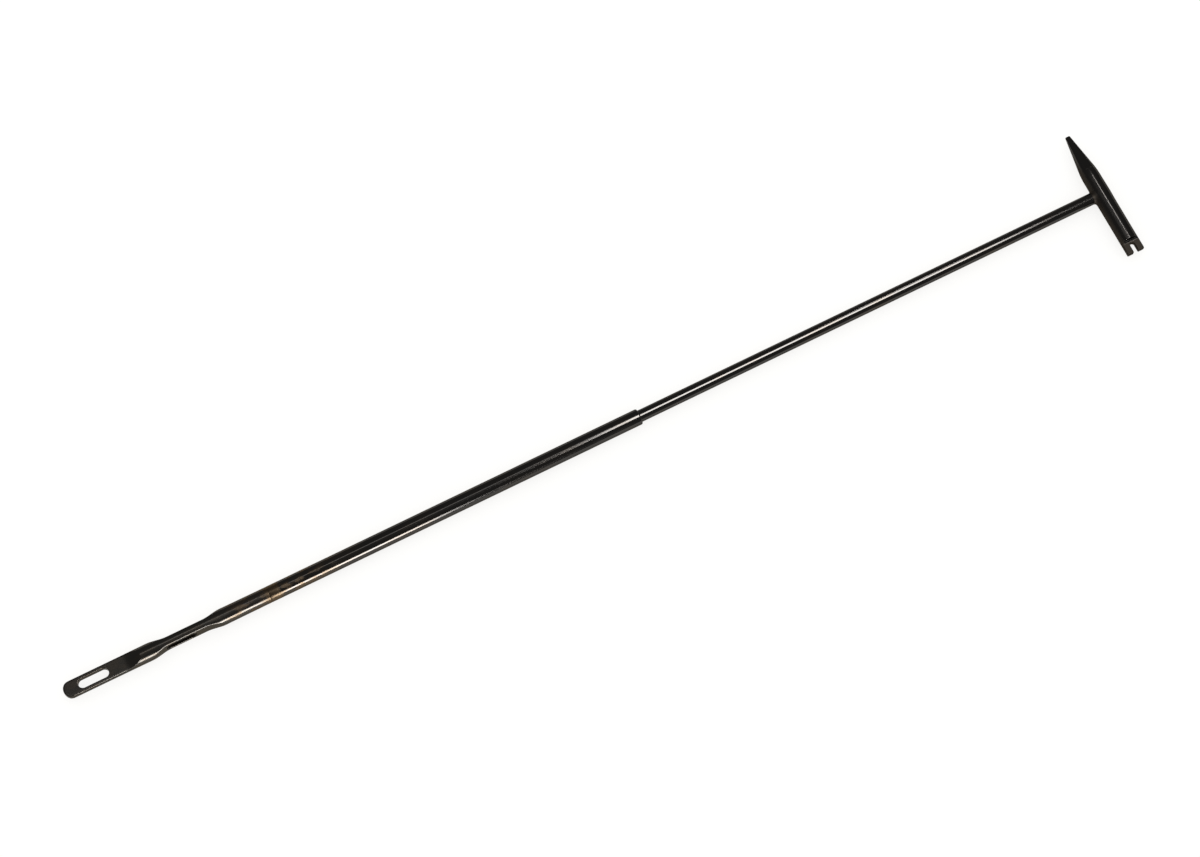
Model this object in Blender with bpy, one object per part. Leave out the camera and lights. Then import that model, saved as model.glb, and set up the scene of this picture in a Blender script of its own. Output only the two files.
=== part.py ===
"""Telescopic rod tool: a tube with a two-eyed tip, a sliding rod and a small T-head.

Units are metres, +Z is up.  The tool lies along X with its eyed tip at -X and its T-head at +X.
The origin is the bottom centre of the whole tool, which lies on the T-head's round bar.
"""
import math

import bmesh
import bpy
from mathutils import Matrix, Vector

MM = 0.001

# Whole tool, measured along X from the end of the tip
HEAD_STATION = 484.4 * MM
MOUTH_STATION = 263.2 * MM
TIP_JOINT_STATION = 92.0 * MM
RIM_GAP = 0.3 * MM

# T-head bar, which lies along Y
BAR_RADIUS = 4.0 * MM
BAR_HALF_LENGTH = 29.8 * MM
BAR_SWELL = 0.12 * MM
BAR_SWELL_HALF_LENGTH = 6.5 * MM
BLADE_LENGTH = 17.5 * MM
BLADE_END_HALF_WIDTH = 1.05 * MM
BLADE_END_HALF_THICK = 0.5 * MM
BLADE_START_HALF_THICK = 3.35 * MM
BLADE_SHOULDER = 4.5 * MM
FORK_SLOT_HALF_WIDTH = 1.05 * MM
FORK_SLOT_DEPTH = 4.3 * MM
FORK_HALF_THICK = 1.3 * MM
FORK_FLAT_LENGTH = 4.6 * MM
FORK_STEP_RADIUS = 1.2 * MM
BAR_END_CHAMFER = 0.5 * MM

# Tube
TUBE_RADIUS = 3.5 * MM
TUBE_BORE_RADIUS = 2.86 * MM
LIP_BORE_RADIUS = 2.68 * MM
LIP_LENGTH = 0.9 * MM
LIP_ROUND = 0.7 * MM

# Rod
ROD_RADIUS = 2.6 * MM
ROD_NOSE_RADIUS = 1.8 * MM
ROD_NOSE_LENGTH = 12.0 * MM
ROD_SEAT_DEPTH = 1.5 * MM

# Stop collar, its pin and the friction ring
COLLAR_RADIUS = 2.78 * MM
COLLAR_BORE_RADIUS = 1.84 * MM
COLLAR_END_GAP = 0.3 * MM
GROOVE_RADIUS = 2.25 * MM
GROOVE_LENGTH = 3.4 * MM
GROOVE_INSET = 1.6 * MM
PIN_RADIUS = 0.5 * MM
PIN_HALF_LENGTH = 2.6 * MM
PIN_INSET = 2.2 * MM
PIN_CLEARANCE = 0.05 * MM
RING_RADIUS = 2.83 * MM
RING_BORE_RADIUS = 2.34 * MM
RING_LENGTH = 3.0 * MM
RING_SPLIT_ANGLE = math.radians(30)
STOP_CLEARANCE = 0.3 * MM

# Eyed tip, stations along X from the end of the tip
TIP_EYE_RADIUS = 3.75 * MM
TIP_FLAT_HALF_THICK = 1.6 * MM
TIP_FLAT_END = 26.0 * MM
TIP_RUNOUT_END = 34.0 * MM
SHANK_RADIUS = 3.6 * MM
SPREAD_RADIUS = 3.85 * MM
SHANK_FLAT_HALF_THICK = 1.9 * MM
SHANK_FLANK_START = 34.5 * MM
SHANK_FLAT_START = 47.0 * MM
SHANK_FLAT_END = 63.0 * MM
SHANK_FLANK_END = 75.5 * MM
EYE_LENGTH = 13.5 * MM
TIP_EYE_HALF_WIDTH = 2.05 * MM
SHANK_EYE_HALF_WIDTH = 2.2 * MM
TIP_EYE_STATION = 13.3 * MM
SHANK_EYE_STATION = 52.0 * MM
SPIGOT_LENGTH = 10.0 * MM
SPIGOT_RADIUS = 2.8 * MM

# Facets round a full circle
ROUND_FACETS = 48
SMALL_FACETS = 16
ARC_STEPS = 10

# Places worked out from the sizes above
OVERALL_LENGTH = HEAD_STATION + BAR_RADIUS + BAR_SWELL
TIP_X = -OVERALL_LENGTH / 2
HEAD_X = TIP_X + HEAD_STATION
MOUTH_X = TIP_X + MOUTH_STATION
TIP_JOINT_X = TIP_X + TIP_JOINT_STATION
AXIS_Z = BAR_RADIUS
COLLAR_OUTER_X = MOUTH_X - LIP_LENGTH - STOP_CLEARANCE
NOSE_X = COLLAR_OUTER_X - ROD_NOSE_LENGTH
RING_CENTRE_X = NOSE_X + GROOVE_INSET + GROOVE_LENGTH / 2
PIN_X = COLLAR_OUTER_X - PIN_INSET


def clear_scene():
    for scene_object in list(bpy.data.objects):
        bpy.data.objects.remove(scene_object, do_unlink=True)


def make_material(name, colour, metallic, roughness):
    material = bpy.data.materials.new(name)
    material.use_nodes = True
    shader = material.node_tree.nodes["Principled BSDF"]
    shader.inputs["Base Color"].default_value = (*colour, 1.0)
    shader.inputs["Metallic"].default_value = metallic
    shader.inputs["Roughness"].default_value = roughness
    return material


def make_object(name, mesh_data, material, origin):
    """Link a bmesh, given about the origin, as a named object placed at origin."""
    mesh = bpy.data.meshes.new(name)
    bmesh.ops.recalc_face_normals(mesh_data, faces=mesh_data.faces)
    mesh_data.to_mesh(mesh)
    mesh_data.free()
    mesh.materials.append(material)
    mesh.shade_smooth()
    mesh.set_sharp_from_angle(angle=math.radians(30))
    new_object = bpy.data.objects.new(name, mesh)
    new_object.location = origin
    bpy.context.scene.collection.objects.link(new_object)
    return new_object


def bridge_rings(mesh_data, rings):
    """Join neighbouring rings of vertices with quads."""
    for near, far in zip(rings, rings[1:]):
        count = len(near)
        for index in range(count):
            following = (index + 1) % count
            mesh_data.faces.new((near[index], near[following], far[following], far[index]))


def turned_solid(profile, facets=ROUND_FACETS):
    """Turn (x, radius) points about X into a closed solid.

    A profile whose first point repeats at its end makes a hollow ring.
    Any other profile is closed by flat discs at its two ends.
    """
    mesh_data = bmesh.new()
    is_hollow = profile[0] == profile[-1]
    points = profile[:-1] if is_hollow else profile
    rings = []
    for x, radius in points:
        ring = []
        for index in range(facets):
            angle = math.tau * index / facets
            ring.append(mesh_data.verts.new((x, radius * math.cos(angle), radius * math.sin(angle))))
        rings.append(ring)
    if is_hollow:
        rings.append(rings[0])
    bridge_rings(mesh_data, rings)
    if not is_hollow:
        mesh_data.faces.new(rings[0])
        mesh_data.faces.new(rings[-1])
    return mesh_data


def prism(outline, half_depth):
    """Extrude a closed (x, y) outline along Z, from -half_depth to half_depth."""
    mesh_data = bmesh.new()
    rings = []
    for z in (-half_depth, half_depth):
        rings.append([mesh_data.verts.new((x, y, z)) for x, y in outline])
    bridge_rings(mesh_data, rings)
    mesh_data.faces.new(rings[0])
    mesh_data.faces.new(rings[-1])
    return mesh_data


def arc(centre_x, centre_y, radius, start, end, steps=ARC_STEPS):
    """Points on an arc from the start angle to the end angle, in degrees."""
    points = []
    for index in range(steps + 1):
        angle = math.radians(start + (end - start) * index / steps)
        points.append((centre_x + radius * math.cos(angle), centre_y + radius * math.sin(angle)))
    return points


def stadium(centre_x, length, half_width):
    """Outline of a slot with round ends that lies along x."""
    reach = length / 2 - half_width
    right_end = arc(centre_x + reach, 0.0, half_width, -90, 90)
    left_end = arc(centre_x - reach, 0.0, half_width, 90, 270)
    return right_end + left_end


def mirrored_outline(upper_edge):
    """Close an edge of (x, half_width) points with its mirror image below the x axis."""
    lower_edge = [(x, -half_width) for x, half_width in reversed(upper_edge)]
    return upper_edge + lower_edge


def ease(start, end, fraction):
    """Blend that leaves start and reaches end without a corner."""
    return start + (end - start) * (1 - math.cos(math.pi * fraction)) / 2


def eased_run(start_x, start_value, end_x, end_value, steps=ARC_STEPS):
    """Points of an S-shaped blend between two (x, value) points, without its end points."""
    points = []
    for index in range(1, steps):
        fraction = index / steps
        points.append((start_x + (end_x - start_x) * fraction, ease(start_value, end_value, fraction)))
    return points


def make_cutter(name, mesh_data, origin):
    cutter = make_object(name, mesh_data, bpy.data.materials["cutter"], origin)
    cutter.hide_render = True
    cutter.display_type = "WIRE"
    return cutter


def add_boolean(target, cutter, operation):
    modifier = target.modifiers.new(cutter.name, "BOOLEAN")
    modifier.operation = operation
    modifier.solver = "EXACT"
    modifier.object = cutter


def turned_along_x_to_y(mesh_data):
    """Turn a solid that was made along X so that it lies along Y."""
    bmesh.ops.rotate(mesh_data, verts=mesh_data.verts, matrix=Matrix.Rotation(math.radians(90), 3, "Z"))
    return mesh_data


def standing_on_edge(mesh_data):
    """Turn a prism's depth from Z to Y, with its x direction kept."""
    bmesh.ops.rotate(mesh_data, verts=mesh_data.verts, matrix=Matrix.Rotation(math.radians(90), 3, "X"))
    return mesh_data


def build_eye_tip(material):
    """Forged tip: flat eye at the end, a second eye at right angles behind it, then the spigot."""
    origin = Vector((TIP_X, 0.0, AXIS_Z))
    body = [(0.0, TIP_EYE_RADIUS), (TIP_FLAT_END, TIP_EYE_RADIUS)]
    body += eased_run(TIP_FLAT_END, TIP_EYE_RADIUS, SHANK_FLAT_START, SPREAD_RADIUS, 4)
    body += [(SHANK_FLAT_START, SPREAD_RADIUS), (SHANK_FLAT_END, SPREAD_RADIUS)]
    body += eased_run(SHANK_FLAT_END, SPREAD_RADIUS, SHANK_FLANK_END, SHANK_RADIUS, 4)
    body += [(SHANK_FLANK_END, SHANK_RADIUS)]
    body += [(TIP_JOINT_STATION, TUBE_RADIUS)]
    body += [(TIP_JOINT_STATION, SPIGOT_RADIUS)]
    body += [(TIP_JOINT_STATION + SPIGOT_LENGTH - BAR_END_CHAMFER, SPIGOT_RADIUS)]
    body += [(TIP_JOINT_STATION + SPIGOT_LENGTH, SPIGOT_RADIUS - BAR_END_CHAMFER)]
    tip = make_object("eye_tip", turned_solid(body), material, origin)

    past_end = TIP_JOINT_STATION + SPIGOT_LENGTH + 2 * TUBE_RADIUS
    clear_of_bar = 2 * TUBE_RADIUS

    plan_edge = arc(TIP_EYE_RADIUS, 0.0, TIP_EYE_RADIUS, 180, 90)[1:]
    plan_edge += [(TIP_EYE_RADIUS, clear_of_bar), (SHANK_FLANK_START, clear_of_bar)]
    plan_edge += [(SHANK_FLANK_START, SPREAD_RADIUS)]
    plan_edge += eased_run(SHANK_FLANK_START, SPREAD_RADIUS, SHANK_FLAT_START, SHANK_FLAT_HALF_THICK)
    plan_edge += [(SHANK_FLAT_START, SHANK_FLAT_HALF_THICK), (SHANK_FLAT_END, SHANK_FLAT_HALF_THICK)]
    plan_edge += eased_run(SHANK_FLAT_END, SHANK_FLAT_HALF_THICK, SHANK_FLANK_END, SHANK_RADIUS)
    plan_edge += [(SHANK_FLANK_END, SHANK_RADIUS), (SHANK_FLANK_END, clear_of_bar)]
    plan_edge += [(past_end, clear_of_bar)]
    nose_point = [(0.0, 0.0)]
    plan = nose_point + plan_edge + [(x, -width) for x, width in reversed(plan_edge)]
    plan_cutter = make_cutter("tip_plan_outline", prism(plan, clear_of_bar), origin)
    add_boolean(tip, plan_cutter, "INTERSECT")

    side_edge = [(-clear_of_bar, TIP_FLAT_HALF_THICK), (TIP_FLAT_END, TIP_FLAT_HALF_THICK)]
    runout_length = TIP_RUNOUT_END - TIP_FLAT_END
    runout_steps = 8
    for index in range(1, runout_steps + 1):
        fraction = index / runout_steps
        rise = (SPREAD_RADIUS - TIP_FLAT_HALF_THICK) * fraction ** 2
        side_edge.append((TIP_FLAT_END + runout_length * fraction, TIP_FLAT_HALF_THICK + rise))
    side_edge += [(TIP_RUNOUT_END, clear_of_bar), (past_end, clear_of_bar)]
    side_mesh = standing_on_edge(prism(mirrored_outline(side_edge), clear_of_bar))
    side_cutter = make_cutter("tip_side_outline", side_mesh, origin)
    add_boolean(tip, side_cutter, "INTERSECT")

    tip_slot = prism(stadium(TIP_EYE_STATION, EYE_LENGTH, TIP_EYE_HALF_WIDTH), clear_of_bar)
    add_boolean(tip, make_cutter("tip_eye_slot", tip_slot, origin), "DIFFERENCE")
    shank_slot = prism(stadium(SHANK_EYE_STATION, EYE_LENGTH, SHANK_EYE_HALF_WIDTH), clear_of_bar)
    add_boolean(tip, make_cutter("shank_eye_slot", standing_on_edge(shank_slot), origin), "DIFFERENCE")
    return tip


def build_outer_tube(material):
    """Drawn tube with a rolled-in lip at its mouth."""
    origin = Vector((MOUTH_X, 0.0, AXIS_Z))
    back = TIP_JOINT_X + RIM_GAP - MOUTH_X
    round_centre = (-LIP_ROUND, TUBE_RADIUS - LIP_ROUND)
    lip = arc(*round_centre, LIP_ROUND, 90, 0, 5)
    profile = [(back, TUBE_RADIUS)]
    profile += lip
    profile += [(0.0, LIP_BORE_RADIUS), (-LIP_LENGTH, LIP_BORE_RADIUS)]
    profile += [(-LIP_LENGTH - STOP_CLEARANCE / 3, TUBE_BORE_RADIUS), (back, TUBE_BORE_RADIUS)]
    profile += [profile[0]]
    return make_object("outer_tube", turned_solid(profile), material, origin)


def build_inner_rod(material):
    """Solid rod, reduced at its inner end for the collar and seated in the T-head at the other."""
    origin = Vector((NOSE_X, 0.0, AXIS_Z))
    nose_end = ROD_NOSE_LENGTH + COLLAR_END_GAP
    seat_end = HEAD_X + ROD_SEAT_DEPTH - NOSE_X
    profile = [
        (0.0, ROD_NOSE_RADIUS - PIN_CLEARANCE),
        (PIN_RADIUS, ROD_NOSE_RADIUS),
        (nose_end, ROD_NOSE_RADIUS),
        (nose_end, ROD_RADIUS),
        (seat_end, ROD_RADIUS),
    ]
    rod = make_object("inner_rod", turned_solid(profile), material, origin)
    hole = pin_blank(PIN_RADIUS + PIN_CLEARANCE, 2 * TUBE_RADIUS)
    add_boolean(rod, make_cutter("rod_pin_hole", hole, Vector((PIN_X, 0.0, AXIS_Z))), "DIFFERENCE")
    return rod


def pin_blank(radius, half_length):
    """Small round bar that stands along Z."""
    mesh_data = turned_solid([(-half_length, radius), (half_length, radius)], SMALL_FACETS)
    bmesh.ops.rotate(mesh_data, verts=mesh_data.verts, matrix=Matrix.Rotation(math.radians(90), 3, "Y"))
    return mesh_data


def build_stop_collar(material):
    """Sleeve pinned on the rod's nose; it is too large for the lip and carries the ring's groove."""
    origin = Vector((NOSE_X, 0.0, AXIS_Z))
    groove_end = GROOVE_INSET + GROOVE_LENGTH
    profile = [
        (0.0, COLLAR_RADIUS),
        (GROOVE_INSET, COLLAR_RADIUS),
        (GROOVE_INSET, GROOVE_RADIUS),
        (groove_end, GROOVE_RADIUS),
        (groove_end, COLLAR_RADIUS),
        (ROD_NOSE_LENGTH, COLLAR_RADIUS),
        (ROD_NOSE_LENGTH, COLLAR_BORE_RADIUS),
        (0.0, COLLAR_BORE_RADIUS),
        (0.0, COLLAR_RADIUS),
    ]
    collar = make_object("stop_collar", turned_solid(profile), material, origin)
    hole = pin_blank(PIN_RADIUS + PIN_CLEARANCE, 2 * TUBE_RADIUS)
    add_boolean(collar, make_cutter("collar_pin_hole", hole, Vector((PIN_X, 0.0, AXIS_Z))), "DIFFERENCE")
    return collar


def build_collar_pin(material):
    pin = pin_blank(PIN_RADIUS, PIN_HALF_LENGTH)
    return make_object("collar_pin", pin, material, Vector((PIN_X, 0.0, AXIS_Z)))


def build_friction_ring(material):
    """Split spring ring, open at the top, in the collar's groove."""
    half_split = math.degrees(RING_SPLIT_ANGLE) / 2
    outer_arc = arc(0.0, 0.0, RING_RADIUS, 90 + half_split, 450 - half_split, ROUND_FACETS)
    inner_arc = arc(0.0, 0.0, RING_BORE_RADIUS, 450 - half_split, 90 + half_split, ROUND_FACETS)
    ring = prism(outer_arc + inner_arc, RING_LENGTH / 2)
    to_x_axis = Matrix(((0.0, 0.0, 1.0), (1.0, 0.0, 0.0), (0.0, 1.0, 0.0)))
    bmesh.ops.transform(ring, verts=ring.verts, matrix=to_x_axis.to_4x4())
    return make_object("friction_ring", ring, material, Vector((RING_CENTRE_X, 0.0, AXIS_Z)))


def build_cross_bar(material):
    """T-head: round bar along Y with a tapered blade at +Y and a flat slotted fork at -Y."""
    origin = Vector((HEAD_X, 0.0, AXIS_Z))
    blade_start = BAR_HALF_LENGTH - BLADE_LENGTH
    shoulder_start = blade_start - BLADE_SHOULDER
    cone_radius = BAR_RADIUS - 0.25 * MM
    tip_corner_radius = math.hypot(BLADE_END_HALF_WIDTH, BLADE_END_HALF_THICK)
    profile = [
        (-BAR_HALF_LENGTH, BAR_RADIUS - BAR_END_CHAMFER),
        (-BAR_HALF_LENGTH + BAR_END_CHAMFER, BAR_RADIUS),
        (shoulder_start, BAR_RADIUS),
        (blade_start, cone_radius),
        (BAR_HALF_LENGTH, tip_corner_radius),
    ]
    bar = make_object("cross_bar", turned_along_x_to_y(turned_solid(profile)), material, origin)

    swell_edge = [(-BAR_SWELL_HALF_LENGTH, BAR_RADIUS - BAR_SWELL)]
    for index in range(1, 12):
        fraction = index / 12
        y = BAR_SWELL_HALF_LENGTH * (2 * fraction - 1)
        swell_edge.append((y, BAR_RADIUS + BAR_SWELL * math.sin(math.pi * fraction)))
    swell_edge.append((BAR_SWELL_HALF_LENGTH, BAR_RADIUS - BAR_SWELL))
    swell_mesh = turned_along_x_to_y(turned_solid(swell_edge))
    squash_z = Matrix.Diagonal((1.0, 1.0, (BAR_RADIUS - BAR_SWELL / 2) / (BAR_RADIUS + BAR_SWELL)))
    bmesh.ops.transform(swell_mesh, verts=swell_mesh.verts, matrix=squash_z.to_4x4())
    add_boolean(bar, make_cutter("bar_swell", swell_mesh, origin), "UNION")

    clear_of_bar = 2 * BAR_RADIUS
    fork_flat_end = -BAR_HALF_LENGTH + FORK_FLAT_LENGTH
    thickness_edge = [(-BAR_HALF_LENGTH - clear_of_bar, FORK_HALF_THICK)]
    thickness_edge += arc(fork_flat_end, FORK_HALF_THICK + FORK_STEP_RADIUS, FORK_STEP_RADIUS, -90, 0, 5)
    thickness_edge += [(fork_flat_end + FORK_STEP_RADIUS, clear_of_bar), (blade_start, clear_of_bar)]
    thickness_edge += [(blade_start, BAR_RADIUS), (blade_start + BAR_END_CHAMFER, BLADE_START_HALF_THICK)]
    thickness_edge += [(BAR_HALF_LENGTH, BLADE_END_HALF_THICK)]
    thickness_edge += [(BAR_HALF_LENGTH + clear_of_bar, BLADE_END_HALF_THICK)]
    wedge = standing_on_edge(prism(mirrored_outline(thickness_edge), clear_of_bar))
    add_boolean(bar, make_cutter("bar_side_outline", turned_along_x_to_y(wedge), origin), "INTERSECT")

    slot_centre = -BAR_HALF_LENGTH - FORK_SLOT_DEPTH
    slot = prism(stadium(slot_centre, 4 * FORK_SLOT_DEPTH, FORK_SLOT_HALF_WIDTH), clear_of_bar)
    add_boolean(bar, make_cutter("fork_slot", turned_along_x_to_y(slot), origin), "DIFFERENCE")

    seat_radius = ROD_RADIUS + PIN_CLEARANCE
    seat_end = ROD_SEAT_DEPTH + RIM_GAP
    seat = turned_solid([(-clear_of_bar, seat_radius), (seat_end, seat_radius)])
    add_boolean(bar, make_cutter("rod_seat", seat, origin), "DIFFERENCE")
    return bar


def main():
    clear_scene()
    make_material("cutter", (0.8, 0.2, 0.2), 0.0, 0.5)
    forged = make_material("forged_steel", (0.060, 0.055, 0.052), 0.9, 0.35)
    drawn = make_material("blued_tube", (0.040, 0.040, 0.044), 0.9, 0.18)
    ground = make_material("blued_rod", (0.036, 0.036, 0.040), 0.9, 0.16)
    head = make_material("blued_bar", (0.045, 0.042, 0.041), 0.9, 0.32)
    collar = make_material("collar_steel", (0.42, 0.42, 0.44), 0.9, 0.3)
    pin = make_material("pin_steel", (0.5, 0.5, 0.52), 0.9, 0.25)
    spring = make_material("spring_steel", (0.35, 0.34, 0.33), 0.9, 0.3)
    build_eye_tip(forged)
    build_outer_tube(drawn)
    build_inner_rod(ground)
    build_stop_collar(collar)
    build_collar_pin(pin)
    build_friction_ring(spring)
    build_cross_bar(head)


main()
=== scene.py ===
"""Looks of the telescopic rod tool: blued steel skins in place of the frame's solids, on a pale table."""

import math

import bmesh
import bpy
import numpy as np
from mathutils import Matrix, Vector


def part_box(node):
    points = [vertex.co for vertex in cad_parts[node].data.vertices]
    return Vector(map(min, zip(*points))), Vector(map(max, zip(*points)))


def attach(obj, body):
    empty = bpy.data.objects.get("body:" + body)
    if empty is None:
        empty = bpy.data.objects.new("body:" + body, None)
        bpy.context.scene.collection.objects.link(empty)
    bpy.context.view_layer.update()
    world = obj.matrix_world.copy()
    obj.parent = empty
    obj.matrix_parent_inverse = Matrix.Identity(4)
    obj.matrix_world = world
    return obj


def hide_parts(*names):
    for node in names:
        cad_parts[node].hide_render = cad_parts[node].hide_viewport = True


MM = 0.001

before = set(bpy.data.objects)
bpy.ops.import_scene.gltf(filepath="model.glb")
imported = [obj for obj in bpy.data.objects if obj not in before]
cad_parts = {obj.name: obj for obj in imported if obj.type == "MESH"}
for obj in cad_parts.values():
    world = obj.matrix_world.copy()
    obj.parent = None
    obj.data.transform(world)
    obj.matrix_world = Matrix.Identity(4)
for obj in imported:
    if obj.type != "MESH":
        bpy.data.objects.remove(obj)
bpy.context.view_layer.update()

# Places and sizes read from the frame
tip_low, tip_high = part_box("eye_tip")
tube_low, tube_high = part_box("outer_tube")
rod_low, rod_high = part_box("inner_rod")
bar_low, bar_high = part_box("cross_bar")
TIP_X = tip_low.x
MOUTH_X = tube_high.x
TIP_JOINT_X = tube_low.x
AXIS_Z = (tube_low.z + tube_high.z) / 2
TUBE_RADIUS = (tube_high.z - tube_low.z) / 2
ROD_RADIUS = (rod_high.z - rod_low.z) / 2
BAR_RADIUS = (bar_high.z - bar_low.z) / 2
BAR_HALF_LENGTH = (bar_high.y - bar_low.y) / 2
BAR_SWELL = (bar_high.x - bar_low.x) / 2 - BAR_RADIUS
HEAD_X = (bar_low.x + bar_high.x) / 2

# Eyed tip, stations along X from the end of the tip
TIP_EYE_RADIUS = (tip_high.y - tip_low.y) / 2
TIP_FLAT_HALF_THICK = 1.6 * MM
TIP_FLAT_END = 26.0 * MM
TIP_RUNOUT_END = 34.0 * MM
SHANK_RADIUS = 3.6 * MM
SPREAD_RADIUS = 3.85 * MM
SHANK_FLAT_HALF_THICK = 1.9 * MM
SHANK_FLANK_START = 34.5 * MM
SHANK_FLAT_START = 47.0 * MM
SHANK_FLAT_END = 63.0 * MM
SHANK_FLANK_END = 75.5 * MM
EYE_LENGTH = 13.5 * MM
TIP_EYE_HALF_WIDTH = 2.05 * MM
SHANK_EYE_HALF_WIDTH = 2.2 * MM
TIP_EYE_STATION = 13.3 * MM
SHANK_EYE_STATION = 52.0 * MM
SEAM_DEPTH = 0.015 * MM
SEAM_HALF_WIDTH = 0.16 * MM

# Edge rounding, as the reach of a smooth blend
CORNER_BLEND = 0.5 * MM
EYE_RIM_BLEND = 0.4 * MM
END_BLEND = 0.7 * MM
JOINT_BLEND = 0.1 * MM
FLAT_EDGE_BLEND = 0.3 * MM
BAR_END_BLEND = 0.4 * MM
FORK_RIM_BLEND = 0.35 * MM
STUB_END_BLEND = 0.2 * MM

# T-head, stations along Y from its centre
BLADE_LENGTH = 17.5 * MM
BLADE_SHOULDER = 4.5 * MM
BLADE_SHOULDER_DROP = 0.25 * MM
BLADE_END_HALF_WIDTH = 1.05 * MM
BLADE_END_HALF_THICK = 0.5 * MM
BLADE_START_HALF_THICK = 3.35 * MM
BLADE_RUN_IN = 1.2 * MM
FORK_SLOT_HALF_WIDTH = 1.05 * MM
FORK_SLOT_DEPTH = 4.3 * MM
FORK_HALF_THICK = 1.3 * MM
FORK_FLAT_LENGTH = 4.6 * MM
FORK_STEP_RADIUS = 1.2 * MM
BAR_SWELL_HALF_LENGTH = 6.5 * MM
BRAZE_REACH = 0.9 * MM
BRAZE_BLEND = 1.1 * MM
BRAZE_FILM = 0.02 * MM

# Tube mouth
LIP_BORE_RADIUS = 2.68 * MM
LIP_LENGTH = 0.9 * MM
LIP_ROUND = 0.7 * MM
TUBE_BORE_RADIUS = 2.86 * MM

# Fineness of the meshes
TIP_CELL = (0.30 * MM, 0.16 * MM, 0.16 * MM)
BAR_CELL = (0.16 * MM, 0.22 * MM, 0.16 * MM)
MARGIN_CELLS = 2.5
SLOPE_STEP = 0.005 * MM
SETTLE_ROUNDS = 4
LONGEST_MOVE = 0.1 * MM
LEAST_STEEPNESS = 0.05
TINY = 1e-12
TURNED_SIDES = 128
TUBE_STATIONS = 40
ROD_STATIONS = 48


# ---------------------------------------------------------------- shapes as distance fields

def smooth_max(first, second, reach):
    """Larger of two distances, with the edge between them rounded over the reach."""
    near = np.clip(reach - np.abs(first - second), 0.0, None) / reach
    return np.maximum(first, second) + near * near * reach / 4


def smooth_min(first, second, reach):
    """Smaller of two distances, with a fillet between them over the reach."""
    return -smooth_max(-first, -second, reach)


def eased(value, start, end):
    """0 before start, 1 after end, and an S-shaped blend between."""
    share = np.clip((value - start) / (end - start), 0.0, 1.0)
    return share * share * (3 - 2 * share)


def rounded_corner(first, second, radius):
    """Distance to a quadrant whose corner is rounded, from two distances to its inner edges."""
    outside = np.hypot(np.clip(first, 0.0, None), np.clip(second, 0.0, None))
    return outside + np.minimum(np.maximum(first, second), 0.0) - radius


def slot_distance(along, across, centre, length, half_width):
    """Distance to the outline of a slot with round ends."""
    past_straight = np.clip(np.abs(along - centre) - (length / 2 - half_width), 0.0, None)
    return np.hypot(past_straight, across) - half_width


def eye_tip_field(x, y, z):
    station = x - TIP_X
    z = z - AXIS_Z
    to_shank = eased(station, TIP_FLAT_END, SHANK_FLAT_START)
    radius = TIP_EYE_RADIUS + (SPREAD_RADIUS - TIP_EYE_RADIUS) * to_shank
    radius = radius + (SHANK_RADIUS - SPREAD_RADIUS) * eased(station, SHANK_FLAT_END, SHANK_FLANK_END)
    to_joint = np.clip((station - SHANK_FLANK_END) / (TIP_JOINT_X - TIP_X - SHANK_FLANK_END), 0.0, 1.0)
    radius = radius + (TUBE_RADIUS - SHANK_RADIUS) * to_joint
    radius = radius - SEAM_DEPTH * np.exp(-((x - TIP_JOINT_X) / SEAM_HALF_WIDTH) ** 2)
    body = np.hypot(y, z) - radius

    runout = np.clip((station - TIP_FLAT_END) / (TIP_RUNOUT_END - TIP_FLAT_END), 0.0, None)
    tip_half_thick = TIP_FLAT_HALF_THICK + (SPREAD_RADIUS - TIP_FLAT_HALF_THICK) * runout ** 2
    body = smooth_max(body, np.abs(z) - tip_half_thick, CORNER_BLEND)

    narrowing = eased(station, SHANK_FLANK_START, SHANK_FLAT_START)
    widening = eased(station, SHANK_FLAT_END, SHANK_FLANK_END)
    waist = narrowing * (1 - widening)
    opened = SPREAD_RADIUS + CORNER_BLEND
    shank_half_thick = opened + (SHANK_FLAT_HALF_THICK - opened) * waist
    body = smooth_max(body, np.abs(y) - shank_half_thick, CORNER_BLEND)

    round_end = np.hypot(np.clip(TIP_EYE_RADIUS - station, 0.0, None), y) - TIP_EYE_RADIUS
    body = smooth_max(body, round_end, END_BLEND)
    tip_eye = slot_distance(station, y, TIP_EYE_STATION, EYE_LENGTH, TIP_EYE_HALF_WIDTH)
    body = smooth_max(body, -tip_eye, EYE_RIM_BLEND)
    shank_eye = slot_distance(station, z, SHANK_EYE_STATION, EYE_LENGTH, SHANK_EYE_HALF_WIDTH)
    body = smooth_max(body, -shank_eye, EYE_RIM_BLEND)
    return smooth_max(body, x - TIP_JOINT_X, JOINT_BLEND)


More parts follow.
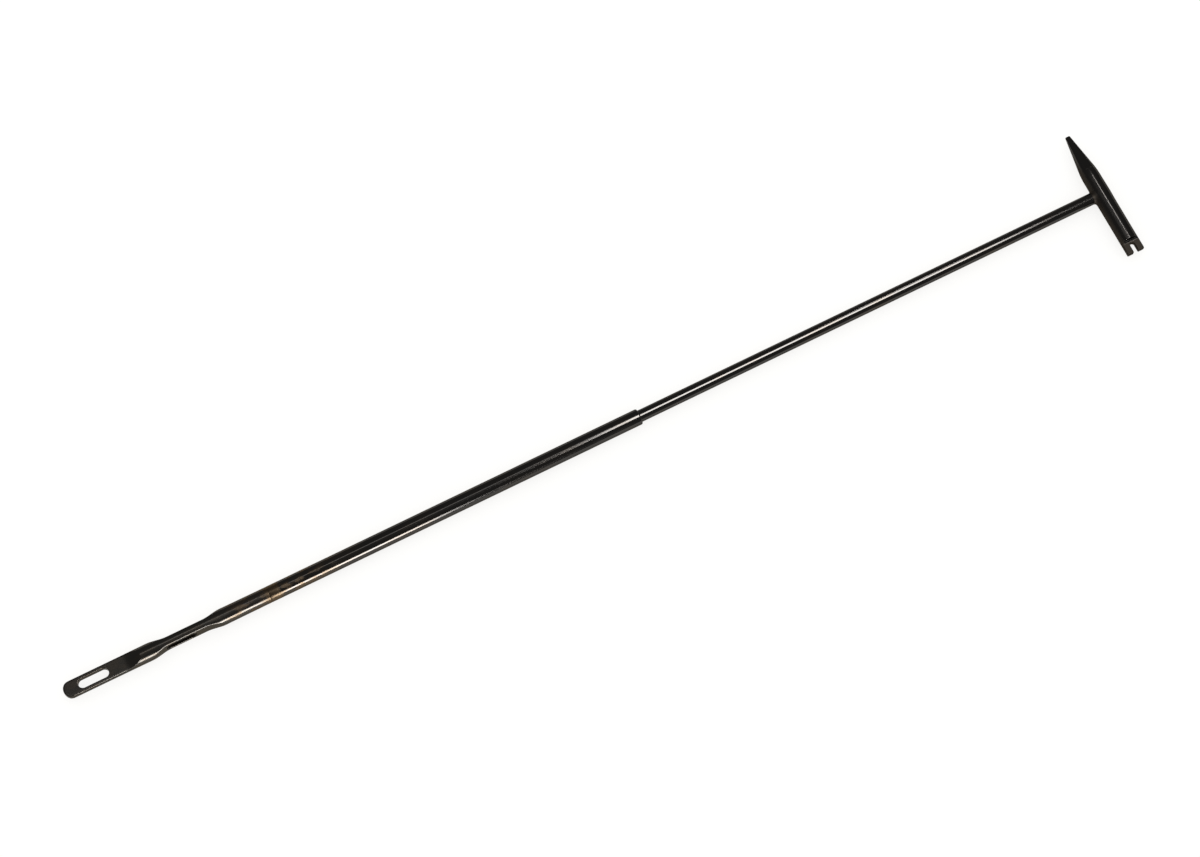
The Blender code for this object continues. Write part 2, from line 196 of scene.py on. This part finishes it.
def cross_bar_field(x, y, z):
    x = x - HEAD_X
    z = z - AXIS_Z
    blade_start = BAR_HALF_LENGTH - BLADE_LENGTH
    swell = BAR_SWELL * np.cos(np.clip(y / BAR_SWELL_HALF_LENGTH, -1.0, 1.0) * math.pi / 2) ** 2
    drop = BLADE_SHOULDER_DROP * np.clip((y - blade_start + BLADE_SHOULDER) / BLADE_SHOULDER, 0.0, 1.0) ** 2
    taper = (BAR_RADIUS - BLADE_SHOULDER_DROP - BLADE_END_HALF_WIDTH) / BLADE_LENGTH
    cone = BAR_RADIUS - BLADE_SHOULDER_DROP - taper * (y - blade_start)
    radius = np.where(y < blade_start, BAR_RADIUS - drop, cone)
    flattened_x = x * BAR_RADIUS / (BAR_RADIUS + swell)
    body = np.hypot(flattened_x, z) - radius
    share = (y - blade_start) / BLADE_LENGTH
    blade_half_thick = BLADE_START_HALF_THICK + (BLADE_END_HALF_THICK - BLADE_START_HALF_THICK) * share
    run_in = BAR_RADIUS * np.clip(-(y - blade_start) / BLADE_RUN_IN, 0.0, None) ** 2
    half_thick = np.where(share > 0, blade_half_thick, BLADE_START_HALF_THICK + run_in)
    body = smooth_max(body, np.abs(z) - half_thick, FLAT_EDGE_BLEND)
    past_step = y + BAR_HALF_LENGTH - FORK_FLAT_LENGTH
    milled = rounded_corner(past_step, FORK_HALF_THICK + FORK_STEP_RADIUS - np.abs(z), FORK_STEP_RADIUS)
    body = smooth_max(body, -milled, FLAT_EDGE_BLEND)
    body = smooth_max(body, np.abs(y) - BAR_HALF_LENGTH, BAR_END_BLEND)

    stub = np.hypot(y, z) - (ROD_RADIUS + BRAZE_FILM)
    stub = smooth_max(stub, -x - BAR_RADIUS - BRAZE_REACH, STUB_END_BLEND)
    stub = smooth_max(stub, x, STUB_END_BLEND)
    body = smooth_min(body, stub, BRAZE_BLEND)

    fork = np.hypot(np.clip(y + BAR_HALF_LENGTH - FORK_SLOT_DEPTH + FORK_SLOT_HALF_WIDTH, 0.0, None), x)
    return smooth_max(body, FORK_SLOT_HALF_WIDTH - fork, FORK_RIM_BLEND)


# ---------------------------------------------------------------- fields and profiles to meshes

def slope_of(field, points):
    """Slope of the field at each point."""
    slope = np.empty_like(points)
    for axis in range(3):
        shift = np.zeros(3)
        shift[axis] = SLOPE_STEP
        slope[:, axis] = (field(*(points + shift).T) - field(*(points - shift).T)) / (2 * SLOPE_STEP)
    return slope


def settle_on_surface(field, points):
    """Move points along the field's slope until they lie on its zero surface."""
    for _ in range(SETTLE_ROUNDS):
        slope = slope_of(field, points)
        value = field(*points.T)
        steepness = np.maximum((slope ** 2).sum(axis=1), LEAST_STEEPNESS)
        move = slope * (value / steepness)[:, None]
        length = np.linalg.norm(move, axis=1, keepdims=True)
        points = points - move * np.minimum(1.0, LONGEST_MOVE / np.maximum(length, TINY))
    return points


def skin(name, field, low, high, cell):
    """Closed quad mesh of a field's zero surface: one vertex in each grid cell that it crosses."""
    axes = []
    for axis in range(3):
        count = int(math.ceil((high[axis] - low[axis]) / cell[axis] + 2 * MARGIN_CELLS)) + 1
        axes.append(low[axis] - MARGIN_CELLS * cell[axis] + cell[axis] * np.arange(count))
    grid = np.meshgrid(*axes, indexing="ij")
    inside = field(*grid) < 0
    corners = [inside[i:i - 1 or None, j:j - 1 or None, k:k - 1 or None]
               for i in (0, 1) for j in (0, 1) for k in (0, 1)]
    filled = sum(corner.astype(np.int8) for corner in corners)
    crossed = (filled > 0) & (filled < 8)
    number = np.full(crossed.shape, -1)
    number[crossed] = np.arange(crossed.sum())
    cells = np.argwhere(crossed)
    points = np.stack([axes[axis][cells[:, axis]] + cell[axis] / 2 for axis in range(3)], axis=1)
    points = settle_on_surface(field, points)

    quads = []
    for axis in range(3):
        following = np.roll(inside, -1, axis)
        changes = inside != following
        changes[tuple(slice(-1, None) if a == axis else slice(None) for a in range(3))] = False
        edges = np.argwhere(changes)
        second, third = (axis + 1) % 3, (axis + 2) % 3
        ring = []
        for back_second, back_third in ((0, 0), (1, 0), (1, 1), (0, 1)):
            place = edges.copy()
            place[:, second] -= back_second
            place[:, third] -= back_third
            ring.append(number[tuple(place.T)])
        ring = np.stack(ring, axis=1)
        leaving = inside[tuple(edges.T)]
        ring[~leaving] = ring[~leaving][:, ::-1]
        quads.append(ring)
    mesh = bpy.data.meshes.new(name)
    mesh.from_pydata(points.tolist(), [], np.concatenate(quads).tolist())
    mesh.validate()
    mesh.shade_smooth()
    slope = slope_of(field, points)
    normals = slope / np.maximum(np.linalg.norm(slope, axis=1, keepdims=True), TINY)
    mesh.normals_split_custom_set_from_vertices(normals.tolist())
    piece = bpy.data.objects.new(name, mesh)
    bpy.context.scene.collection.objects.link(piece)
    return piece


def arc(centre_x, centre_radius, radius, start, end, steps):
    """Points on an arc from the start angle to the end angle, in degrees."""
    points = []
    for index in range(steps + 1):
        angle = math.radians(start + (end - start) * index / steps)
        points.append((centre_x + radius * math.cos(angle), centre_radius + radius * math.sin(angle)))
    return points


def turned(name, profile):
    """Turn an (x, radius) profile about the tool's axis; the first point repeated makes it hollow."""
    is_hollow = profile[0] == profile[-1]
    points = profile[:-1] if is_hollow else profile
    mesh_data = bmesh.new()
    rings = []
    for x, radius in points:
        ring = []
        for index in range(TURNED_SIDES):
            angle = math.tau * index / TURNED_SIDES
            place = (x, radius * math.cos(angle), AXIS_Z + radius * math.sin(angle))
            ring.append(mesh_data.verts.new(place))
        rings.append(ring)
    pairs = list(zip(rings, rings[1:]))
    if is_hollow:
        pairs.append((rings[-1], rings[0]))
    for near, far in pairs:
        for index in range(TURNED_SIDES):
            after = (index + 1) % TURNED_SIDES
            mesh_data.faces.new((near[index], near[after], far[after], far[index]))
    if not is_hollow:
        mesh_data.faces.new(rings[0])
        mesh_data.faces.new(rings[-1])
    bmesh.ops.recalc_face_normals(mesh_data, faces=mesh_data.faces)
    mesh = bpy.data.meshes.new(name)
    mesh_data.to_mesh(mesh)
    mesh_data.free()
    mesh.shade_smooth()
    mesh.set_sharp_from_angle(angle=math.radians(35))
    piece = bpy.data.objects.new(name, mesh)
    bpy.context.scene.collection.objects.link(piece)
    return piece


def make_tube():
    """Drawn tube with a rolled-in lip; stations are close enough for even shading."""
    edge_round = 0.12 * MM
    back = TIP_JOINT_X
    profile = arc(back + edge_round, TUBE_RADIUS - edge_round, edge_round, 180, 90, 4)
    for index in range(1, TUBE_STATIONS):
        profile.append((back + (MOUTH_X - LIP_ROUND - back) * index / TUBE_STATIONS, TUBE_RADIUS))
    profile += arc(MOUTH_X - LIP_ROUND, TUBE_RADIUS - LIP_ROUND, LIP_ROUND, 90, 4, 10)
    profile += arc(MOUTH_X - edge_round, LIP_BORE_RADIUS + edge_round, edge_round, 0, -90, 5)
    profile += [(MOUTH_X - LIP_LENGTH, LIP_BORE_RADIUS)]
    profile += [(MOUTH_X - LIP_LENGTH - edge_round, TUBE_BORE_RADIUS), (back, TUBE_BORE_RADIUS)]
    return turned("tube_skin", profile + profile[:1])


def make_rod():
    """Round rod from its reduced nose inside the tube to its seat in the T-head."""
    nose_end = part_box("stop_collar")[1].x
    nose_radius = 1.8 * MM
    chamfer = 0.25 * MM
    profile = [(rod_low.x, nose_radius - chamfer), (rod_low.x + chamfer, nose_radius)]
    profile += [(nose_end, nose_radius), (nose_end, ROD_RADIUS - chamfer), (nose_end + chamfer, ROD_RADIUS)]
    full_start = nose_end + chamfer
    for index in range(1, ROD_STATIONS):
        profile.append((full_start + (rod_high.x - full_start) * index / ROD_STATIONS, ROD_RADIUS))
    profile.append((rod_high.x, ROD_RADIUS))
    return turned("rod_skin", profile)


# ---------------------------------------------------------------- materials

# Noise scales, in features per metre
CLOUD_SCALE = 180.0
PATCH_SCALE = 420.0
DRAWN_MARK_SCALE = 2200.0
SPECK_SCALE = 2600.0
TURNED_MARK_SCALE = 3000.0
NOISE_ROUGHNESS = 0.55

# How the drawing marks and specks show
MARK_ROUGHNESS = 0.01
MARK_BUMP = 0.01
BUMP_DISTANCE = 0.01 * MM
ALONG_X = (0.05, 1.0, 1.0)
ALONG_Y = (1.0, 0.05, 1.0)

# Patina, measured from the tip's joint: where it is whole on the tube and gone, and whole on the tip and thin
TUBE_PATINA_WHOLE = 12.0 * MM
TUBE_PATINA_GONE = 44.0 * MM
TIP_PATINA_WHOLE = 8.0 * MM
TIP_PATINA_THIN = 26.0 * MM

# Steel colours, and the tint of what steel mirrors at a grazing angle
BLUED_BLACK = (0.060, 0.057, 0.054)
TIP_BLACK = (0.070, 0.066, 0.060)
BAR_BLACK = (0.056, 0.053, 0.050)
PATINA_BROWN = (0.100, 0.072, 0.046)
SCALE_BROWN = (0.040, 0.034, 0.028)
EDGE_TINT = (0.45, 0.44, 0.42)


class Nodes:
    """Short way to add and join shader nodes."""

    def __init__(self, name):
        self.material = bpy.data.materials.new(name)
        self.material.use_nodes = True
        self.tree = self.material.node_tree
        self.shader = self.tree.nodes["Principled BSDF"]
        self.place = self.add("ShaderNodeTexCoord").outputs["Object"]

    def add(self, kind, **settings):
        node = self.tree.nodes.new(kind)
        for key, value in settings.items():
            setattr(node, key, value)
        return node

    def link(self, source, target):
        self.tree.links.new(source, target)

    def stretched(self, scale):
        mapping = self.add("ShaderNodeMapping")
        mapping.inputs["Scale"].default_value = scale
        self.link(self.place, mapping.inputs["Vector"])
        return mapping.outputs["Vector"]

    def noise(self, scale, detail, stretch=(1, 1, 1)):
        node = self.add("ShaderNodeTexNoise")
        node.inputs["Scale"].default_value = scale
        node.inputs["Detail"].default_value = detail
        node.inputs["Roughness"].default_value = NOISE_ROUGHNESS
        self.link(self.stretched(stretch), node.inputs["Vector"])
        return node.outputs["Fac"]

    def ramp(self, source, low, high, low_out=0.0, high_out=1.0):
        node = self.add("ShaderNodeMapRange", interpolation_type="SMOOTHSTEP")
        node.inputs["From Min"].default_value = low
        node.inputs["From Max"].default_value = high
        node.inputs["To Min"].default_value = low_out
        node.inputs["To Max"].default_value = high_out
        self.link(source, node.inputs["Value"])
        return node.outputs["Result"]

    def maths(self, operation, first, second):
        node = self.add("ShaderNodeMath", operation=operation)
        for socket, value in zip(node.inputs, (first, second)):
            if isinstance(value, (int, float)):
                socket.default_value = value
            else:
                self.link(value, socket)
        return node.outputs["Value"]

    def along(self, axis):
        split = self.add("ShaderNodeSeparateXYZ")
        self.link(self.place, split.inputs["Vector"])
        return split.outputs[axis]

    def mix(self, share, first, second):
        node = self.add("ShaderNodeMix", data_type="RGBA")
        self.link(share, node.inputs["Factor"])
        for socket, value in ((node.inputs[6], first), (node.inputs[7], second)):
            if isinstance(value, tuple):
                socket.default_value = (*value, 1.0)
            else:
                self.link(value, socket)
        return node.outputs[2]

    def bump(self, height, strength):
        node = self.add("ShaderNodeBump")
        node.inputs["Strength"].default_value = strength
        node.inputs["Distance"].default_value = BUMP_DISTANCE
        self.link(height, node.inputs["Height"])
        self.link(node.outputs["Normal"], self.shader.inputs["Normal"])


def band(nodes, centre, half_width, fade, axis="X"):
    """1 within half_width of a place along an axis, falling to 0 over the fade."""
    offset = nodes.maths("ABSOLUTE", nodes.maths("SUBTRACT", nodes.along(axis), centre), 0.0)
    return nodes.ramp(offset, half_width, half_width + fade, 1.0, 0.0)


def blued_steel(name, black, brown, gloss, worn_gloss, specks, wear=None, grain=ALONG_X):
    """Blued steel with a brown bloom, fine specks and drawing marks; wear says where it is matt and brown."""
    nodes = Nodes(name)
    shader = nodes.shader
    shader.inputs["Metallic"].default_value = 1.0
    shader.inputs["Specular Tint"].default_value = (*EDGE_TINT, 1.0)
    cloud = nodes.ramp(nodes.noise(CLOUD_SCALE, 5.0, (0.35, 1.0, 1.0)), 0.42, 0.72)
    fine = nodes.ramp(nodes.noise(SPECK_SCALE, 3.0), 0.60, 0.74)
    bloom = nodes.maths("MULTIPLY", cloud, 0.18)
    if wear is not None:
        bloom = nodes.maths("MAXIMUM", bloom, wear(nodes))
    colour = nodes.mix(bloom, black, brown)
    speck_share = nodes.maths("MULTIPLY", fine, specks)
    speck_share = nodes.maths("MULTIPLY", speck_share, nodes.maths("ADD", bloom, 0.02))
    bright_speck = tuple(min(1.0, value * 3.0) for value in brown)
    colour = nodes.mix(speck_share, colour, bright_speck)
    nodes.link(colour, shader.inputs["Base Color"])
    roughness = nodes.ramp(bloom, 0.0, 1.0, gloss, worn_gloss)
    marks = nodes.noise(DRAWN_MARK_SCALE, 3.0, grain)
    mark_roughness = nodes.ramp(marks, 0.3, 0.7, -MARK_ROUGHNESS, MARK_ROUGHNESS)
    nodes.link(nodes.maths("ADD", roughness, mark_roughness), shader.inputs["Roughness"])
    nodes.bump(nodes.maths("ADD", marks, nodes.maths("MULTIPLY", fine, 0.5)), MARK_BUMP)
    return nodes.material


def bare_steel(name, colour, roughness):
    """Turned steel of the small inner pieces."""
    nodes = Nodes(name)
    nodes.shader.inputs["Metallic"].default_value = 1.0
    marks = nodes.noise(TURNED_MARK_SCALE, 3.0, (1.0, 0.15, 0.15))
    shade = nodes.ramp(marks, 0.3, 0.7)
    darker = tuple(value * 0.8 for value in colour)
    nodes.link(nodes.mix(shade, colour, darker), nodes.shader.inputs["Base Color"])
    mark_roughness = nodes.ramp(marks, 0.3, 0.7, roughness - 0.05, roughness + 0.08)
    nodes.link(mark_roughness, nodes.shader.inputs["Roughness"])
    nodes.bump(marks, 0.2)
    return nodes.material


def broken_patina(nodes, patina):
    """Patina that lies in patches a few millimetres long, solid across the brazed joint."""
    patches = nodes.ramp(nodes.noise(PATCH_SCALE, 3.0, (0.45, 1.0, 1.0)), 0.44, 0.60)
    patchy = nodes.maths("MULTIPLY", patina, nodes.maths("ADD", nodes.maths("MULTIPLY", patches, 0.75), 0.1))
    joint = band(nodes, TIP_JOINT_X + 1.5 * MM, 2.6 * MM, 1.6 * MM)
    return nodes.maths("MAXIMUM", patchy, joint)


def tube_wear(nodes):
    """Patina that thins out from the tip's joint along the tube."""
    whole, gone = TIP_JOINT_X + TUBE_PATINA_WHOLE, TIP_JOINT_X + TUBE_PATINA_GONE
    patina = nodes.ramp(nodes.along("X"), whole, gone, 1.0, 0.0)
    return broken_patina(nodes, patina)


def tip_wear(nodes):
    """Patina that gathers from the second eye towards the tip's joint."""
    thin, whole = TIP_JOINT_X - TIP_PATINA_THIN, TIP_JOINT_X - TIP_PATINA_WHOLE
    patina = nodes.ramp(nodes.along("X"), thin, whole, 0.25, 1.0)
    return broken_patina(nodes, patina)


def bar_wear(nodes):
    """Matt scale round the foot of the rod, left by the brazing, and the matt milled flats of the fork."""
    braze = band(nodes, HEAD_X - BAR_RADIUS - BRAZE_REACH / 2, 0.9 * MM, 1.6 * MM)
    milled = band(nodes, -BAR_HALF_LENGTH, FORK_FLAT_LENGTH, 0.6 * MM, "Y")
    return nodes.maths("MAXIMUM", braze, milled)


# ---------------------------------------------------------------- pieces

def finish_piece(piece, body, node, material):
    piece.data.materials.clear()
    piece.data.materials.append(material)
    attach(piece, body)
    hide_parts(node)


def make_pieces():
    """Fine skins for the four visible pieces, and bare steel on the three inner ones."""
    tip_end = Vector((TIP_JOINT_X, tip_high.y, tip_high.z))
    tip = skin("eye_tip_skin", eye_tip_field, tip_low, tip_end, TIP_CELL)
    tip_steel = blued_steel("forged_tip_steel", TIP_BLACK, PATINA_BROWN, gloss=0.20, worn_gloss=0.32,
                            specks=0.9, wear=tip_wear)
    finish_piece(tip, "tube", "eye_tip", tip_steel)
    tube_steel = blued_steel("blued_tube_steel", BLUED_BLACK, PATINA_BROWN, gloss=0.10, worn_gloss=0.30,
                             specks=0.9, wear=tube_wear)
    finish_piece(make_tube(), "tube", "outer_tube", tube_steel)
    rod_steel = blued_steel("blued_rod_steel", BLUED_BLACK, PATINA_BROWN, gloss=0.10, worn_gloss=0.14,
                            specks=0.05)
    finish_piece(make_rod(), "rod", "inner_rod", rod_steel)
    low = Vector((bar_low.x - BRAZE_REACH, bar_low.y, bar_low.z))
    bar = skin("cross_bar_skin", cross_bar_field, low, bar_high, BAR_CELL)
    bar_steel = blued_steel("satin_bar_steel", BAR_BLACK, SCALE_BROWN, gloss=0.17, worn_gloss=0.55,
                            specks=0.05, wear=bar_wear, grain=ALONG_Y)
    finish_piece(bar, "rod", "cross_bar", bar_steel)
    for node, colour, roughness in (
        ("stop_collar", (0.42, 0.42, 0.44), 0.30),
        ("collar_pin", (0.50, 0.50, 0.52), 0.25),
        ("friction_ring", (0.35, 0.34, 0.33), 0.32),
    ):
        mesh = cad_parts[node].data
        mesh.materials.clear()
        mesh.materials.append(bare_steel(node + "_steel", colour, roughness))


# ---------------------------------------------------------------- stage, lights and camera

CEILING_HEIGHT = 1.2
CAMERA_AZIMUTH = math.radians(-25.96)
CAMERA_ELEVATION = math.radians(71.0)
CAMERA_DISTANCE = 1.5
CAMERA_LENS = 107.84
CAMERA_ROLL = math.radians(-0.95)
CAMERA_TARGET = Vector((0.0018, 0.0027, 0.004))


def make_floor():
    """Pale table top, mostly lit from itself, so that the tool's shadow stays faint."""
    half_size = 4.0
    mesh_data = bmesh.new()
    corners = [(-1, -1), (1, -1), (1, 1), (-1, 1)]
    mesh_data.faces.new([mesh_data.verts.new((half_size * x, half_size * y, 0.0)) for x, y in corners])
    mesh = bpy.data.meshes.new("table_top")
    mesh_data.to_mesh(mesh)
    mesh_data.free()
    floor = bpy.data.objects.new("table_top", mesh)
    bpy.context.scene.collection.objects.link(floor)
    nodes = Nodes("table_white")
    nodes.shader.inputs["Base Color"].default_value = (0.24, 0.24, 0.24, 1.0)
    nodes.shader.inputs["Roughness"].default_value = 0.9
    nodes.shader.inputs["Specular IOR Level"].default_value = 0.0
    nodes.shader.inputs["Emission Color"].default_value = (1.0, 0.995, 0.98, 1.0)
    nodes.shader.inputs["Emission Strength"].default_value = 0.81
    mesh.materials.append(nodes.material)


def add_area_light(name, place, target, width, height, radiance):
    data = bpy.data.lights.new(name, "AREA")
    data.shape = "RECTANGLE"
    data.size = width
    data.size_y = height
    data.energy = radiance * math.pi * width * height
    light = bpy.data.objects.new(name, data)
    light.location = place
    light.rotation_euler = (Vector(target) - Vector(place)).to_track_quat("-Z", "Y").to_euler()
    light.visible_diffuse = False
    bpy.context.scene.collection.objects.link(light)
    return light


def add_ceiling_light(name, x, y, width, height, radiance):
    """Panel that hangs flat over (x, y)."""
    add_area_light(name, (x, y, CEILING_HEIGHT), (x, y, 0.0), width, height, radiance)


def make_lights():
    """Panels that the steel mirrors as bright lines.

    The ceiling panel shows on the rod and the tube's mouth, the long panel along the tube's middle, the head
    panel on the T-head, and the window low on the tube and tip.
    """
    add_ceiling_light("ceiling_panel", 0.354, -0.155, width=0.36, height=0.50, radiance=15.0)
    add_ceiling_light("long_panel", -0.175, 0.20, width=0.75, height=0.15, radiance=1.6)
    add_ceiling_light("head_panel", 0.44, 0.345, width=0.11, height=0.09, radiance=17.0)
    window, facing = (-0.10, -1.42, 0.42), (-0.10, 0.0, 0.0)
    add_area_light("front_window", window, facing, width=0.33, height=0.50, radiance=19.0)


def make_world():
    """Dim room that the steel mirrors; the pale surroundings light the table and are what the camera sees."""
    world = bpy.data.worlds.new("room")
    world.use_nodes = True
    tree = world.node_tree
    room = tree.nodes["Background"]
    room.inputs["Color"].default_value = (0.16, 0.16, 0.16, 1.0)
    pale = tree.nodes.new("ShaderNodeBackground")
    pale.inputs["Color"].default_value = (0.95, 0.95, 0.95, 1.0)
    mix = tree.nodes.new("ShaderNodeMixShader")
    path = tree.nodes.new("ShaderNodeLightPath")
    tree.links.new(path.outputs["Is Glossy Ray"], mix.inputs["Fac"])
    tree.links.new(pale.outputs["Background"], mix.inputs[1])
    tree.links.new(room.outputs["Background"], mix.inputs[2])
    tree.links.new(mix.outputs["Shader"], tree.nodes["World Output"].inputs["Surface"])
    bpy.context.scene.world = world


def make_camera():
    data = bpy.data.cameras.new("camera")
    data.lens = CAMERA_LENS
    data.sensor_width = 36.0
    data.clip_start = 0.01
    data.clip_end = 30.0
    camera = bpy.data.objects.new("camera", data)
    level = math.cos(CAMERA_ELEVATION)
    sideways = math.sin(CAMERA_AZIMUTH) * level
    back = -math.cos(CAMERA_AZIMUTH) * level
    away = Vector((sideways, back, math.sin(CAMERA_ELEVATION)))
    camera.location = CAMERA_TARGET + away * CAMERA_DISTANCE
    turn = (-away).to_track_quat("-Z", "Y").to_matrix() @ Matrix.Rotation(CAMERA_ROLL, 3, "Z")
    camera.rotation_euler = turn.to_euler()
    bpy.context.scene.collection.objects.link(camera)
    bpy.context.scene.camera = camera


bpy.context.scene.view_settings.view_transform = "Standard"
make_camera()
make_pieces()
make_floor()
make_lights()
make_world()
